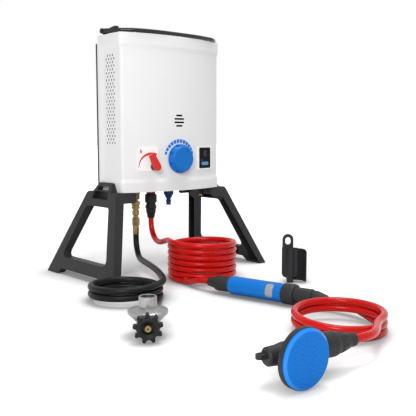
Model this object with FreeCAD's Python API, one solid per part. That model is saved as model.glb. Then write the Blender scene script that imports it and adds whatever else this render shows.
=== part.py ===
# Portable propane water heater on two A-frame legs, with its gas hose, regulator,
# shower hose, in-line grip, shower head and a stand-alone holder.
# Millimetres. +X right, +Y back, +Z up. The origin is on the floor, midway between the legs.
import FreeCAD
import Part
import math
import os

Vector = FreeCAD.Vector
OUT = "parts"
UP = Vector(0, 0, 1)

# Case
case_width = 317.0
case_bottom = 209.1
case_top = 592.0
case_back = 39.7
case_corner_y = -58.9
case_bow = 30.4
case_corner_radius = 12.0
recess = 3.0
bevel = 10.0
band_bottom = 23.0
band_top = 26.0
case_wall = 2.0
side_step_y = (31.7, 16.0)
panel_thickness = 3.0
back_depth = 10.0

# Front controls
controls_x = 0.0
controls_z = 289.5
controls_spread = 92.0
lever_plate_size = (54.0, 58.0, 4.0)
lever_axis = (-81.2, 271.7)
lever_depths = (-52.0, -85.2, -94.4, -103.4)
lever_lean = 28.4
lever_reach = 34.0
display_size = (60.0, 61.0, 3.4)
glass_size = (50.0, 54.0, 1.6)
knob_radius = 37.0
knob_depth = 18.0
vent_slots = ((-12.9, 21.0), (-4.3, 32.0), (4.3, 32.0), (12.9, 21.0))
vent_slot_height = 4.4
vent_z = 385.0
side_slot_rows = 26
side_slot_pitch = (11.0, 8.44)
side_slot_size = (3.2, 5.0)
side_slot_start = (-11.5, 541.0)

# Ports under the case
port_y = -25.0
gas_port_x = -94.2
hot_port_x = -46.2
cold_port_x = 11.8
spigot_radius = 7.45

# Legs
leg_outer_top = 179.7
leg_outer_foot = 249.9
leg_half_top = 62.8
leg_half_foot = 152.4
leg_open_half = (49.2, 102.4)
leg_open_z = (42.0, 174.0)
leg_flange = (25.7, 20.8)
leg_wall = 3.6
leg_arm_x = 124.0
leg_arm_bottom = 184.0
leg_top = case_bottom - 0.3
crossbar_bottom = 14.0
screw_x = 147.0

# Handle
handle_tube = 5.0
handle_pivot = (22.0, 602.5)
handle_bar_z = 597.4
handle_x = 152.5
handle_corners = ((handle_x, -40.5), (handle_x, -48.0), (124.0, -73.0), (60.0, -85.0))
handle_bends = (0.0, 13.0, 40.0, 300.0)

# Hoses
water_hose = 13.4
gas_hose = 14.0
outlet_hose_end = (hot_port_x, port_y, 136.5)
gas_hose_end = (gas_port_x, port_y, 99.0)

water_coil_centre = (-12.15, -186.0)
water_coil_radius = 77.5
water_coil_pitch = 14.3
water_coil_angles = (180.0, 180.0 - 360.0 * 6.06)
water_coil_lift = (0.4, 0.0)

loop_centre = (-122.15, -683.0)
loop_radius = 78.5
loop_pitch = 14.1
loop_angles = (-35.0, -70.0 - 720.0)
loop_lift = (1.8, 2.5)

gas_coil_centre = (-273.5, -237.0)
gas_coil_radius = 73.0
gas_coil_pitch = 14.9
gas_coil_angles = (-42.0, 660.0)
gas_coil_lift = (0.5, 0.0)

# Corners of each free hose between its fitting or coil ends
gas_drop_corners = ((-94.2, -25, 85), (-95.7, -28.7, 71.6), (-98.6, -35.7, 59.8), (-102.6, -45.6, 50.7),
                    (-107.4, -57.4, 45), (-112.7, -70.4, 43), (-121.8, -92.6, 43), (-138, -132, 44.2),
                    (-155, -174, 45), (-171.9, -216, 44), (-188.3, -252.5, 41), (-200.3, -273.3, 38.3),
                    (-212.8, -286.2, 36.4))
gas_tail_corners = ((-251.4, -321.6, 7.5), (-276.9, -346.6, 11.2), (-302.8, -370.8, 16.9),
                    (-328.2, -395.6, 22.7), (-352.1, -422.2, 26.4))
shower_drop_corners = ((-46.2, -25, 122.5), (-47.3, -29, 109.1), (-49.4, -36.5, 97.5), (-52.3, -47, 88.7),
                       (-55.8, -59.7, 83.3), (-59.8, -74.2, 81.2), (-64.6, -91.5, 83.5), (-69, -110, 88.5),
                       (-73.4, -130.1, 93.8))
shower_lead_corners = ((-89.65, -216, 7.1), (-91.6, -233.1, 10), (-94.3, -249.8, 14.5), (-96.1, -266.8, 19.2),
                       (-95.7, -284.2, 22.2))
shower_feed_corners = ((-23.7, -609, 22.2), (-23.1, -634.2, 19), (-26.5, -657.6, 14.6), (-31.7, -678.1, 10.7),
                       (-37.1, -695.3, 8), (-43.5, -707.5, 7.1))
shower_tail_corners = ((-126.6, -768.2, 35.3), (-145.8, -778.5, 36), (-164.4, -790.5, 37.3),
                       (-184.1, -802.5, 39), (-205.8, -811.7, 40.5), (-229.3, -814.8, 41.5))

# Loose pieces on the floor
grip_origin = Vector(-78.95, -359.8, 22.2)
grip_angle = -77.5
grip_ends = (-60.5, 231.0)
grip_window_turn = 72.0
sleeve_radius = 20.0
sleeve_length = 132.0
regulator_origin = Vector(-392.55, -477.0, 0.0)
regulator_angle = -126.4
regulator_inlet = -34.0
wheel_height = 26.4
wheel_radius = 26.0
wheel_lobes = 9
head_origin = Vector(-378.25, -784.5, 41.5)
head_angle = -11.5
head_end = 129.5
face_origin = Vector(-381.4, -785.2, 44.8)
face_angle = -5.0
face_radius = 43.5
holder_origin = Vector(113.5, -361.0, 0.0)
holder_angle = -48.9


def box(x0, x1, y0, y1, z0, z1):
    return Part.makeBox(x1 - x0, y1 - y0, z1 - z0, Vector(x0, y0, z0))


def rod(radius, start, end):
    start = Vector(*start)
    axis = Vector(*end) - start
    return Part.makeCylinder(radius, axis.Length, start, axis)


def face_of(points):
    corners = [Vector(*p) for p in points]
    return Part.Face(Part.makePolygon(corners + corners[:1]))


def prism(points, direction):
    return face_of(points).extrude(Vector(*direction))


def turned_x(points):
    outline = [(points[0][0], 0, 0)] + [(x, 0, r) for x, r in points] + [(points[-1][0], 0, 0)]
    return face_of(outline).revolve(Vector(0, 0, 0), Vector(1, 0, 0), 360)


def turned_z(points, x=0.0, y=0.0):
    outline = [(0, 0, points[0][1])] + [(r, 0, z) for r, z in points] + [(0, 0, points[-1][1])]
    shape = face_of(outline).revolve(Vector(0, 0, 0), UP, 360)
    shape.translate(Vector(x, y, 0))
    return shape


def placed(shape, origin, angle):
    moved = shape.copy()
    moved.rotate(Vector(0, 0, 0), UP, angle)
    moved.translate(origin)
    return moved


def fuse(shapes):
    result = shapes[0]
    for shape in shapes[1:]:
        result = result.fuse(shape)
    return result.removeSplitter()


def export(name, shape):
    shape.exportStep(f"{OUT}/{name}.step")
    size = shape.optimalBoundingBox(False, False)
    print(f"{name}: solids {len(shape.Solids)} valid {shape.isValid()} volume {shape.Volume:.0f}"
          f" z {size.ZMin:.2f} to {size.ZMax:.1f}")


# A wire round a flat outline, each corner rounded by its own radius
def rounded_wire(points, radii):
    corners = [Vector(*p) for p in points]
    count = len(corners)
    ends = []
    for i, corner in enumerate(corners):
        back = (corners[i - 1] - corner).normalize()
        ahead = (corners[(i + 1) % count] - corner).normalize()
        half = back.getAngle(ahead) / 2
        reach = radii[i] / math.tan(half)
        middle = (back + ahead).normalize()
        peak = corner + middle * (radii[i] / math.sin(half) - radii[i])
        ends.append((corner + back * reach, peak, corner + ahead * reach))
    edges = []
    for i, (start, peak, end) in enumerate(ends):
        if radii[i] > 0:
            edges.append(Part.Arc(start, peak, end).toShape())
        following = ends[(i + 1) % count][0]
        if (following - end).Length > 1e-6:
            edges.append(Part.LineSegment(end, following).toShape())
    return Part.Wire(edges)


def rounded_prism(points, radii, direction):
    return Part.Face(rounded_wire(points, radii)).extrude(Vector(*direction))


def rounded_block(x0, x1, y0, y1, z0, z1, radius):
    corners = [(x0, y0, z0), (x1, y0, z0), (x1, y1, z0), (x0, y1, z0)]
    return rounded_prism(corners, [radius] * 4, (0, 0, z1 - z0))


# The arc that leaves start along tangent and passes through end
def arc_from(start, tangent, end):
    chord = end - start
    along = chord * (1 / chord.Length)
    across = tangent - along * tangent.dot(along)
    if across.Length < 1e-7:
        return Part.LineSegment(start, end).toShape()
    angle = tangent.getAngle(chord)
    peak = start + chord * 0.5 + across.normalize() * (chord.Length / 2 * math.tan(angle / 2))
    return Part.Arc(start, peak, end).toShape()


def biarc(p0, t0, p1, t1):
    v = p1 - p0
    t = t0 + t1
    denominator = 2 * (1 - t0.dot(t1))
    vt = v.dot(t)
    d = (-vt + math.sqrt(vt * vt + denominator * v.dot(v))) / denominator
    joint = (p0 + p1 + (t0 - t1) * d) * 0.5
    back_tangent = (p0 + t0 * d - joint).normalize()
    return [arc_from(p0, t0, joint), arc_from(joint, back_tangent * -1, p1)]


def pipe(edges, start, tangent, radius):
    path = Part.Wire(edges)
    section = Part.Wire(Part.makeCircle(radius, start, tangent))
    return path.makePipeShell([section], True, False)


# A free stretch of hose: straight runs joined by tangent arcs
def hose_run(name, start, corners, end, diameter):
    points = [Vector(*start)] + [Vector(*corner) for corner in corners] + [Vector(*end)]
    edges = []
    radii = []
    here = points[0]
    for before, corner, after in zip(points, points[1:], points[2:]):
        back = (before - corner).normalize()
        ahead = (after - corner).normalize()
        half = back.getAngle(ahead) / 2
        shorter = min((before - corner).Length, (after - corner).Length)
        radius = 0.45 * shorter * math.tan(half)
        reach = 0.45 * shorter
        peak = corner + (back + ahead).normalize() * (radius / math.sin(half) - radius)
        edges.append(Part.LineSegment(here, corner + back * reach).toShape())
        edges.append(Part.Arc(corner + back * reach, peak, corner + ahead * reach).toShape())
        here = corner + ahead * reach
        radii.append(round(radius))
    edges.append(Part.LineSegment(here, points[-1]).toShape())
    length = sum(edge.Length for edge in edges)
    solid = pipe(edges, points[0], points[1] - points[0], diameter / 2)
    section = math.pi * diameter * diameter / 4
    print(f"{name}: radii {radii} length {length:.0f} volume ratio {solid.Volume / (section * length):.4f}")
    return solid


# The centre line of a coil from its lowest point up: place and direction at every quarter turn
def coil_stations(centre, radius, pitch, angles, lift, diameter):
    low, high = angles
    clearance, tilt = lift
    turns = abs(high - low) / 360.0
    steps = math.ceil(turns * 4)
    sense = 1 if high > low else -1
    stations = []
    for i in range(steps + 1):
        turn = math.radians(low + (high - low) * i / steps)
        height = diameter / 2 + clearance + pitch * turns * i / steps + tilt * math.sin(turn)
        rise = pitch / (2 * math.pi * radius) + sense * tilt * math.cos(turn) / radius
        if i in (0, steps):
            rise = 0.0
        place = Vector(centre[0] + radius * math.cos(turn), centre[1] + radius * math.sin(turn), height)
        tangent = Vector(-math.sin(turn) * sense, math.cos(turn) * sense, rise).normalize()
        stations.append((place, tangent))
    return stations


def coil_ends(centre, radius, pitch, angles, lift, diameter):
    stations = coil_stations(centre, radius, pitch, angles, lift, diameter)
    first, first_tangent = stations[0]
    last, last_tangent = stations[-1]
    return first - first_tangent * diameter, last + last_tangent * diameter


def coil(name, centre, radius, pitch, angles, lift, diameter):
    stations = coil_stations(centre, radius, pitch, angles, lift, diameter)
    start, end = coil_ends(centre, radius, pitch, angles, lift, diameter)
    edges = [Part.LineSegment(start, stations[0][0]).toShape()]
    for (p0, t0), (p1, t1) in zip(stations, stations[1:]):
        edges += biarc(p0, t0, p1, t1)
    edges.append(Part.LineSegment(stations[-1][0], end).toShape())
    solid = pipe(edges, start, stations[0][1], diameter / 2)
    length = sum(edge.Length for edge in edges)
    samples = []
    for edge in edges:
        samples += edge.discretize(12)[:-1]
    half_turn = round(math.pi * radius / (length / len(samples)))
    gap = min((a - b).Length for i, a in enumerate(samples) for b in samples[i + half_turn:])
    print(f"{name}: length {length:.0f} gap to itself {gap - diameter:.2f}"
          f" volume ratio {solid.Volume / (math.pi * diameter ** 2 / 4 * length):.4f}")
    return solid


# Plan outline of the case at one height, its front and sides drawn in by an inset
def plan_wire(inset, height, back=case_back, flat_sides=False):
    half = case_width / 2
    bow_radius = (half ** 2 + case_bow ** 2) / (2 * case_bow)
    bow_y = case_corner_y - case_bow + bow_radius
    side = half - inset
    rear_side = side if flat_sides else half
    corner = case_corner_radius - min(inset, case_corner_radius - 4.0)
    big = bow_radius - inset
    centre_x = side - corner
    centre_y = bow_y - math.sqrt((big - corner) ** 2 - centre_x ** 2)
    reach = math.hypot(centre_x, centre_y - bow_y)
    touch_x = centre_x * big / reach
    touch_y = bow_y + (centre_y - bow_y) * big / reach
    lean = math.atan2(touch_y - centre_y, touch_x - centre_x) / 2
    peak_x = centre_x + corner * math.cos(lean)
    peak_y = centre_y + corner * math.sin(lean)

    def at(x, y):
        return Vector(x, y, height)

    right = [at(rear_side, back), at(rear_side, side_step_y[0]), at(side, side_step_y[1]), at(side, centre_y)]
    left = [at(-p.x, p.y) for p in reversed(right)]
    edges = [Part.LineSegment(a, b).toShape() for a, b in zip(right, right[1:])]
    edges.append(Part.Arc(right[-1], at(peak_x, peak_y), at(touch_x, touch_y)).toShape())
    edges.append(Part.Arc(at(touch_x, touch_y), at(0, bow_y - big), at(-touch_x, touch_y)).toShape())
    edges.append(Part.Arc(at(-touch_x, touch_y), at(-peak_x, peak_y), left[0]).toShape())
    edges += [Part.LineSegment(a, b).toShape() for a, b in zip(left, left[1:])]
    edges.append(Part.LineSegment(left[-1], right[0]).toShape())
    return Part.Wire(edges)


def plan_prism(inset, z0, z1, back=case_back, flat_sides=False):
    return Part.Face(plan_wire(inset, z0, back, flat_sides)).extrude(Vector(0, 0, z1 - z0))


# Depth of the recessed front face and its slope at a place across the case
def front_depth(x):
    half = case_width / 2
    bow_radius = (half ** 2 + case_bow ** 2) / (2 * case_bow)
    centre_y = case_corner_y - case_bow + bow_radius
    radius = bow_radius - recess
    return centre_y - math.sqrt(radius ** 2 - x ** 2), math.degrees(math.asin(x / radius))


# Local X runs along the front face, local Y goes into the case, local Z up
def on_front(shape, x, z):
    depth, slope = front_depth(x)
    return placed(shape, Vector(x, depth, z), slope)


def front_plate(size, radius, sink):
    width, height, thickness = size
    corners = [(-width / 2, sink, -height / 2), (width / 2, sink, -height / 2),
               (width / 2, sink, height / 2), (-width / 2, sink, height / 2)]
    return rounded_prism(corners, [radius] * 4, (0, -thickness, 0))


def lever_plate():
    plate = front_plate(lever_plate_size, 4.0, 1.0)
    plate = on_front(plate, controls_x - controls_spread, controls_z)
    return plate.cut(lever_rod(5.0, -60.0, -90.0))


def lever_rod(radius, y0, y1):
    return rod(radius, (lever_axis[0], y0, lever_axis[1]), (lever_axis[0], y1, lever_axis[1]))


def display_bezel():
    plate = front_plate(display_size, 6.0, 1.2)
    pocket = front_plate((glass_size[0] + 0.3, glass_size[1] + 0.3, 9.0), 3.0, 5.0)
    return on_front(plate.cut(pocket), controls_x + controls_spread, controls_z)


def display_window():
    glass = front_plate(glass_size, 3.0, -0.2)
    button_hole = front_plate((29.6, 9.1, 9.0), 4.5, 5.0)
    button_hole.translate(Vector(0, 0, -14.5))
    return on_front(glass.cut(button_hole), controls_x + controls_spread, controls_z)


def mode_button():
    cap = front_plate((29.0, 8.5, 4.2), 4.2, 1.4)
    foot = front_plate((33.0, 12.0, 1.6), 4.2, 2.8)
    button = cap.fuse(foot)
    button.translate(Vector(0, 0, -14.5))
    return on_front(button.removeSplitter(), controls_x + controls_spread, controls_z)


# The lever leans left of upright from its round pivot end
def gas_lever():
    inner, hub, back, face = lever_depths
    blade = rounded_prism([(-6.8, back, lever_reach), (6.8, back, lever_reach + 1.5), (9.5, back, 0), (-9.5, back, 0)],
                          [2.5, 2.5, 0.5, 0.5], (0, face - back, 0))
    eye = rod(9.7, (0, back, 0), (0, face, 0))
    lever = blade.fuse(eye).removeSplitter()
    lever.rotate(Vector(0, 0, 0), Vector(0, 1, 0), -lever_lean)
    lever.translate(Vector(lever_axis[0], 0, lever_axis[1]))
    return lever.cut(lever_rod(4.0, inner, back - 5.0))


def lever_spindle():
    inner, hub, back, face = lever_depths
    return fuse([lever_rod(9.2, hub, back), lever_rod(4.0, inner, back - 5.0)])


def gas_valve():
    x, z = lever_axis
    block = box(x - 24, x + 21, -62, -22, 252, 300)
    inlet = rod(8.0, (gas_port_x, port_y - 6, case_bottom + 3.4), (gas_port_x, port_y - 6, 252))
    return fuse([block, inlet]).cut(lever_rod(4.06, inlet_depth(), -64.0))


def inlet_depth():
    return lever_depths[0] + 2.0


def flow_knob():
    front = front_depth(controls_x)[0] - 0.6
    body = turned_x([(0, knob_radius - 0.5), (3, knob_radius), (9, knob_radius - 0.8),
                     (knob_depth, knob_radius - 7.5)])
    for i in range(8):
        turn = math.radians(22.5 + 45 * i)
        at = (math.cos(turn), math.sin(turn))
        dimple = rod(6.2, (5.5, at[0] * 39.6, at[1] * 39.6), (knob_depth + 14, at[0] * 34.0, at[1] * 34.0))
        body = body.cut(dimple)
    socket = rod(4.0, (-1, 0, 0), (11, 0, 0))
    body = body.cut(socket)
    body.rotate(Vector(0, 0, 0), UP, -90)
    body.translate(Vector(controls_x, front, controls_z))
    return body


def knob_spindle():
    front = front_depth(controls_x)[0] - 0.6
    return rod(4.0, (controls_x, front + 30, controls_z), (controls_x, front - 11, controls_z))


def water_valve():
    front = front_depth(controls_x)[0]
    block = box(controls_x - 28, controls_x + 30, front + 20, front + 62, 256, 322)
    cover = rod(26.0, (controls_x, front + 12, controls_z), (controls_x, front + 20, controls_z))
    bore = rod(4.06, (controls_x, front + 6, controls_z), (controls_x, front + 32, controls_z))
    return fuse([block, cover]).cut(bore)


def vent_slot_cuts():
    cuts = []
    depth = front_depth(controls_x)[0]
    for offset, width in vent_slots:
        x0 = controls_x - width / 2
        z0 = vent_z + offset - vent_slot_height / 2
        slot = [(x0, depth - 5, z0), (x0 + width, depth - 5, z0),
                (x0 + width, depth - 5, z0 + vent_slot_height), (x0, depth - 5, z0 + vent_slot_height)]
        cuts.append(rounded_prism(slot, [vent_slot_height / 2 - 0.05] * 4, (0, 15, 0)))
    return cuts


def side_slots():
    cuts = []
    pitch_y, pitch_z = side_slot_pitch
    width, height = side_slot_size
    for row in range(side_slot_rows):
        count = 3 + row % 2
        z = side_slot_start[1] - row * pitch_z
        for i in range(count):
            y = side_slot_start[0] + (i - (count - 1) / 2) * pitch_y
            cuts.append(box(-160, 160, y - width / 2, y + width / 2, z - height / 2, z + height / 2))
    return cuts


def front_cover():
    low = case_bottom + band_bottom
    high = case_top - band_top
    levels = [(0.0, case_bottom), (0.0, low), (recess, low + bevel), (recess, high - bevel),
              (0.0, high), (0.0, case_top)]
    parts = []
    for (inset0, z0), (inset1, z1) in zip(levels, levels[1:]):
        if inset0 == inset1:
            parts.append(plan_prism(inset0, z0, z1))
        else:
            parts.append(Part.makeLoft([plan_wire(inset0, z0), plan_wire(inset1, z1)], True, True))
    shell = fuse(parts)
    hollow = plan_prism(recess + case_wall, case_bottom - 1, case_top + 1, case_back + 1, True)
    shell = shell.cut(hollow)
    knob_hole = rod(5.0, (controls_x, -95, controls_z), (controls_x, -70, controls_z))
    hub_hole = lever_rod(5.0, -60.0, -95.0)
    window_hole = on_front(front_plate((glass_size[0] - 4, glass_size[1] - 4, 20.0), 3.0, 12.0),
                           controls_x + controls_spread, controls_z)
    cuts = [knob_hole, hub_hole, window_hole, lever_plate(), display_bezel(), display_window()]
    shell = shell.cut(cuts + vent_slot_cuts())
    slots = Part.makeCompound(side_slots())
    keep_out = plan_prism(recess + case_wall, case_bottom, case_top, case_back, True)
    return shell.cut(slots.cut(keep_out))


def base_plate():
    plate = plan_prism(recess + case_wall + 0.2, case_bottom, case_bottom + panel_thickness, 39.5, True)
    cuts = [rod(10.2, (gas_port_x, port_y, 200), (gas_port_x, port_y, 220)),
            rod(10.2, (hot_port_x, port_y, 200), (hot_port_x, port_y, 220)),
            rod(10.2, (cold_port_x, port_y, 200), (cold_port_x, port_y, 220)),
            box(44, 112, -20, 14, 200, 220)]
    for side in (-1, 1):
        cuts.append(rod(3.1, (side * screw_x, 0, 200), (side * screw_x, 0, 220)))
    plate = plate.cut(cuts)
    ears = []
    for x0 in (54.0, 96.4):
        ears.append(rounded_prism([(x0, 14.6, case_bottom), (x0, 20.4, case_bottom), (x0, 20.4, 204.1),
                                   (x0, 14.6, 204.1)], [0.1, 0.1, 2.4, 2.4], (5.6, 0, 0)))
    pin = rod(1.2, (54.0, 17.5, 206.7), (102.0, 17.5, 206.7))
    return fuse([plate, pin] + ears)


def battery_door():
    panel = rounded_block(42.5, 113.5, -22.0, 14.0, 206.0, 208.7, 3.0)
    bridge = box(60.2, 95.8, 12.0, 17.5, 206.0, 208.3)
    barrel = rod(2.0, (60.2, 17.5, 206.7), (95.8, 17.5, 206.7))
    bore = rod(1.26, (59.0, 17.5, 206.7), (97.0, 17.5, 206.7))
    tab = rounded_block(70, 86, -27.0, -20.0, 206.0, 208.0, 2.0)
    return fuse([panel, bridge, barrel, tab]).cut(bore)


def battery_box():
    outer = box(42, 114, -22, 16, 212.3, 280)
    inner = box(44, 112, -20, 14, 211, 278)
    return outer.cut(inner)


def battery_cells():
    cells = []
    for x in (61.0, 95.0):
        cells.append(turned_z([(16.2, 213.5), (16.2, 273.0), (4.5, 273.0), (4.5, 275.0)], x, -3.0))
    return Part.makeCompound(cells)


def top_plate():
    plate = plan_prism(recess + case_wall + 0.2, case_top - 0.4 - panel_thickness, case_top - 0.4, 39.5, True)
    return plate.cut(box(-92, 92, -38, 14, 580, 600))


def flue_hood():
    hood = rounded_block(-104, 104, -46, 22, case_top - 0.4, 601.0, 6.0)
    hollow = box(-88, 88, -34, 10, 590, 598.5)
    slots = [box(-88 + 23.0 * i, -88 + 23.0 * i + 15, -34, 10, 597, 603) for i in range(8)]
    outer = duct_loft((90, -42, 26, 549.2), (91, -37, 13, case_top - 0.4))
    inner = duct_loft((88, -40, 24, 549.1), (89, -35, 11, case_top - 0.3))
    return hood.cut([hollow] + slots).fuse(outer.cut(inner))


def duct_loft(low, high):
    return Part.makeLoft([Part.makePolygon(rim(*low)), Part.makePolygon(rim(*high))], True, True)


def back_cover():
    half = case_width / 2 - 2
    inside = case_width / 2 - recess - case_wall - 0.3
    pan = box(-half, half, case_back, case_back + back_depth, 222, 574)
    hollow = box(-half + 2.5, half - 2.5, case_back + 2, case_back + back_depth - 2.5, 224.5, 571.5)
    frame = box(-inside, inside, case_back - 2.5, case_back, case_bottom + 3.4, case_top - 3.8)
    window = box(-inside + 3.5, inside - 3.5, case_back - 3, case_back + 2.1, 226, 570)
    holes = [rod(4.5, (x, 44, 545), (x, 60, 545)) for x in (-100, 100)]
    slots = [box(-60, 60, 44, 60, 300 + 14 * i, 306 + 14 * i) for i in range(9)]
    return fuse([pan, frame]).cut([hollow, window] + holes + slots)


def case_screws():
    screws = []
    for x in (-140, 140):
        for z in (236, 398, 560):
            head = turned_z([(3.6, 0), (3.2, 2.0), (1.2, 2.3)])
            head.rotate(Vector(0, 0, 0), Vector(1, 0, 0), -90)
            head.translate(Vector(x, case_back + back_depth, z))
            screws.append(head)
    return Part.makeCompound(screws)


def heat_exchanger():
    core = box(-88, 88, -40, 24, 470, 545)
    gaps = [box(-80 + 10 * i, -76 + 10 * i, -36, 20, 469, 546) for i in range(16)]
    rims = [box(-92, 92, -44, 28, 466, 470), box(-92, 92, -44, 28, 545, 549)]
    holes = [box(-82, 82, -36, 20, 465, 471), box(-82, 82, -36, 20, 544, 550)]
    return fuse([core.cut(gaps)] + [rim.cut(hole) for rim, hole in zip(rims, holes)])


def rim(half, y0, y1, z):
    return [Vector(-half, y0, z), Vector(half, y0, z), Vector(half, y1, z), Vector(-half, y1, z),
            Vector(-half, y0, z)]


def combustion_chamber():
    outer = box(-92, 92, -44, 28, 366, 466)
    return outer.cut(box(-90, 90, -42, 26, 365, 467))


def burner():
    bars = [rounded_block(-80 + 18 * i, -70 + 18 * i, -38, 22, 336, 362, 3.0) for i in range(9)]
    tray = box(-84, 84, -38, 22, 330, 337)
    manifold = box(-84, 84, -47, -38, 326, 340)
    return fuse([tray, manifold] + bars)


def ignition_module():
    body = rounded_block(-30, 34, 8, 34, 240, 300, 3.0)
    lead = rod(2.0, (0, 21, 300), (0, 21, 322))
    return body.fuse(lead)


def bent_pipe(points, radius, bend):
    corners = [Vector(*p) for p in points]
    edges = []
    here = corners[0]
    for before, corner, after in zip(corners, corners[1:], corners[2:]):
        back = (before - corner).normalize()
        ahead = (after - corner).normalize()
        peak = corner + (back + ahead).normalize() * (bend * math.sqrt(2) - bend)
        edges.append(Part.LineSegment(here, corner + back * bend).toShape())
        edges.append(Part.Arc(corner + back * bend, peak, corner + ahead * bend).toShape())
        here = corner + ahead * bend
    edges.append(Part.LineSegment(here, corners[-1]).toShape())
    return pipe(edges, corners[0], corners[1] - corners[0], radius)


def water_pipes():
    cold = rod(7.0, (cold_port_x, port_y, case_bottom + 3.4), (cold_port_x, port_y, 256))
    feed = bent_pipe([(30.0, -47, 305), (122, -47, 305), (122, -47, 508), (122, -10, 508), (88, -10, 508)],
                     6.0, 16.0)
    hot = bent_pipe([(hot_port_x, port_y, case_bottom + 3.4), (hot_port_x, port_y, 236), (hot_port_x, 20, 236),
                     (-122, 20, 236), (-122, 20, 508), (-88, 20, 508)], 6.0, 11.0)
    return Part.makeCompound([cold, feed, hot])


def gas_inlet():
    hexagon = [(11.5 * math.cos(math.radians(60 * i)), 11.5 * math.sin(math.radians(60 * i)), 0) for i in range(6)]
    nut = prism(hexagon, (0, 0, 14.0))
    nut.translate(Vector(gas_port_x, port_y, 188.0))
    flange = rod(12.0, (gas_port_x, port_y, 202.0), (gas_port_x, port_y, case_bottom))
    stem = rod(10.0, (gas_port_x, port_y, 205.0), (gas_port_x, port_y, case_bottom + 3.1))
    return fuse([nut, flange, stem])


def hot_outlet():
    return turned_z([(11.8, 199.0), (11.8, case_bottom), (10.0, case_bottom), (10.0, case_bottom + 3.3)],
                    hot_port_x, port_y)


def cold_inlet():
    return turned_z([(spigot_radius, 167.0), (spigot_radius, 169.5), (5.8, 170.5), (5.8, 173.5),
                     (spigot_radius, 174.5), (spigot_radius, 178.5), (6.2, 179.5), (6.2, 184.5), (9.4, 187.5),
                     (9.4, 190.0), (13.2, 195.5), (13.2, case_bottom), (10.0, case_bottom),
                     (10.0, case_bottom + 3.3)], cold_port_x, port_y)


# One leg: an A-frame leaning outwards, flanged inwards, with arms under the case and a lug beside it
def leg_x(z):
    return leg_outer_foot + (leg_outer_top - leg_outer_foot) * z / case_bottom


def leg_half(z):
    return leg_half_foot + (leg_half_top - leg_half_foot) * z / case_bottom


def leg_open(z):
    low, high = leg_open_z
    return leg_open_half[1] + (leg_open_half[0] - leg_open_half[1]) * (z - low) / (high - low)


def leg_points(side, outline, depth=0.0):
    return [(side * (leg_x(z) - depth), y, z) for y, z in outline]


def leg_frame(side):
    outline = [(-leg_half(0), 0.0), (-101.0, 0.0), (-88.0, crossbar_bottom), (88.0, crossbar_bottom),
               (101.0, 0.0), (leg_half(0), 0.0), (leg_half(leg_top), leg_top), (-leg_half(leg_top), leg_top)]
    low, high = leg_open_z
    opening = [(-leg_open(low), low), (leg_open(low), low), (leg_open(high), high), (-leg_open(high), high)]
    inward = (-side * 30.0, 0, 0)
    body = rounded_prism(leg_points(side, outline), [1.5, 1.5, 5, 5, 1.5, 1.5, 11, 11], inward)
    hole = rounded_prism(leg_points(side, opening, -2.0), [13, 13, 8, 8], (-side * 40.0, 0, 0))
    taper = prism([(side * (leg_x(-1) - leg_flange[1]), -160, -1), (side * (leg_x(210) - leg_flange[0]), -160, 210),
                   (side * 60, -160, 210), (side * 60, -160, -1)], (0, 320, 0))
    return body.cut([hole, taper])


def leg_pockets(side):
    low, high = leg_open_z
    wall = leg_wall
    bar_low = crossbar_bottom + wall
    pockets = [[(-72.0, bar_low), (72.0, bar_low), (78.0, low - wall), (-78.0, low - wall)],
               [(-34.0, high + wall), (34.0, high + wall), (34.0, 185.0), (-34.0, 185.0)]]
    for face in (-1, 1):
        member = [(face * (leg_half(z) - wall * 1.1), z) for z in (6.0, 180.0)]
        member += [(face * (leg_open(z) + wall * 1.1), z) for z in (168.0, 60.0)]
        member += [(face * 112.0, 26.0), (face * 112.0, 6.0)]
        pockets.append(member)
    return [prism(leg_points(side, outline, leg_wall), (-side * 40.0, 0, 0)) for outline in pockets]


def leg_arm(side, face):
    strip = [(face * leg_half(z), z) for z in (leg_arm_bottom, leg_top)]
    strip += [(face * (leg_half(z) - 4.0), z) for z in (leg_top, leg_arm_bottom)]
    bar = prism([(side * leg_arm_x, y, z) for y, z in strip], (side * 52.0, 0, 0))
    profile = rounded_prism([(side * leg_arm_x, -90, leg_top), (side * leg_arm_x, -90, 188.0),
                             (side * 131.0, -90, leg_arm_bottom), (side * 176.0, -90, leg_arm_bottom),
                             (side * 176.0, -90, leg_top)], [3, 4, 6, 0.1, 0.1], (0, 180, 0))
    return bar.common(profile)


def leg_lug(side):
    inner = case_width / 2 + 0.4
    profile = prism([(side * inner, -60, 204.0), (side * inner, -60, 231.5), (side * 165.0, -60, 231.5),
                     (side * leg_x(204.0), -60, 204.0)], (0, 120, 0))
    front = rounded_prism([(0, -42.0, 204.0), (0, 42.0, 204.0), (0, 29.0, 231.5), (0, -29.0, 231.5)],
                          [0.5, 0.5, 7, 7], (side * 200.0, 0, 0))
    return profile.common(front)


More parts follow.
